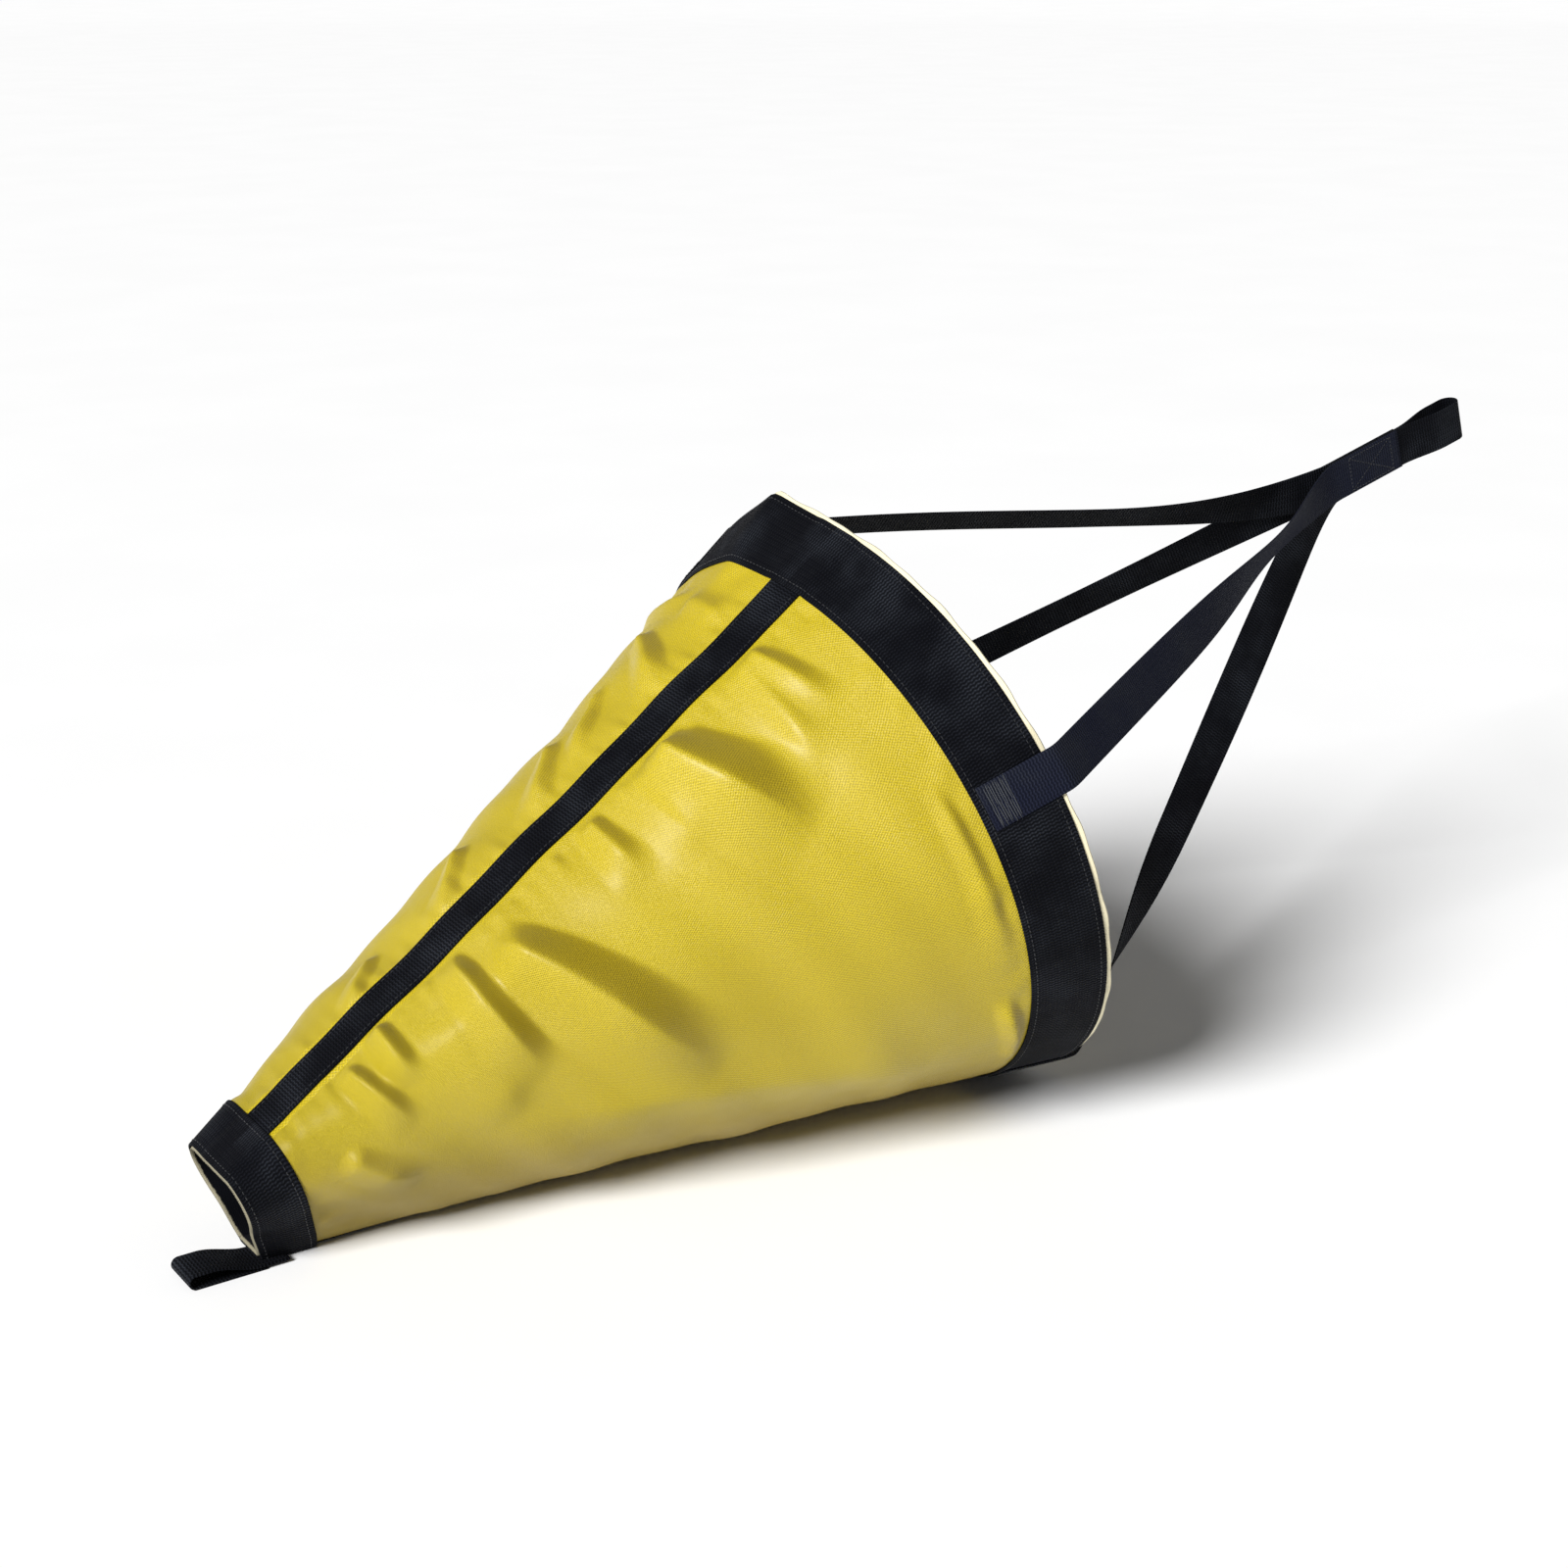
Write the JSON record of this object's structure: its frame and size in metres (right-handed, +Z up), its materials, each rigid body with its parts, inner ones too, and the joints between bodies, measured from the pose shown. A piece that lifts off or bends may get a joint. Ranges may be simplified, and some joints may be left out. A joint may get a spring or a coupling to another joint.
{
  "type": "drift sock",
  "caption": "Cone-shaped boat drift sock of coated fabric with webbing bands and ribs, a webbing bridle meeting in a swinging tow loop, and a tail recovery loop.",
  "frame": {"origin": "the middle of the underside of the bounding box, on the ground that the sock lies on", "axes": "+X from the tail towards the tow loop, +Z up, -Y the side that carries the near panel"},
  "size_m": [1.1332, 0.4665, 0.446],
  "materials": {
    "coated_fabric": "semi-gloss PVC-coated woven fabric, yellow",
    "pale_lining": "matt cream backing of the coated fabric",
    "webbing": "matt woven polypropylene webbing, navy black",
    "thread": "bonded polyester sewing thread, dark"
  },
  "bodies": {
    "sock": {"bridle_leg_bottom_near": "webbing", "bridle_leg_side_far": "webbing", "bridle_leg_side_near": "webbing", "bridle_leg_top_far": "webbing", "leg_tack_bottom_near": "thread", "leg_tack_side_far": "thread", "leg_tack_side_near": "thread", "leg_tack_top_far": "thread", "mouth_band": "webbing", "mouth_hem": "pale_lining", "neck_tack_far": "thread", "neck_tack_near": "thread", "panel_far": "coated_fabric", "panel_near": "coated_fabric", "rib_bottom": "webbing", "rib_bottom_seam_far": "thread", "rib_bottom_seam_near": "thread", "rib_top": "webbing", "rib_top_seam_far": "thread", "rib_top_seam_near": "thread", "tail_band": "webbing", "tail_hem": "pale_lining"},
    "tow_loop": {"tow_loop": "webbing"},
    "tail_loop": {"tail_loop": "webbing"}
  },
  "joints": [
    {"name": "tow_loop_swing", "type": "hinge", "parent": "sock", "child": "tow_loop", "pos_m": [0.49815, 0, 0.41245], "axis": [-0.274, 0, 0.9617], "range_deg": [-70, 70]},
    {"name": "tail_loop_lift", "type": "hinge", "parent": "sock", "child": "tail_loop", "pos_m": [-0.51705, -0.012, 0.0015], "axis": [0, 1, 0], "range_deg": [0, 55]}
  ]
}
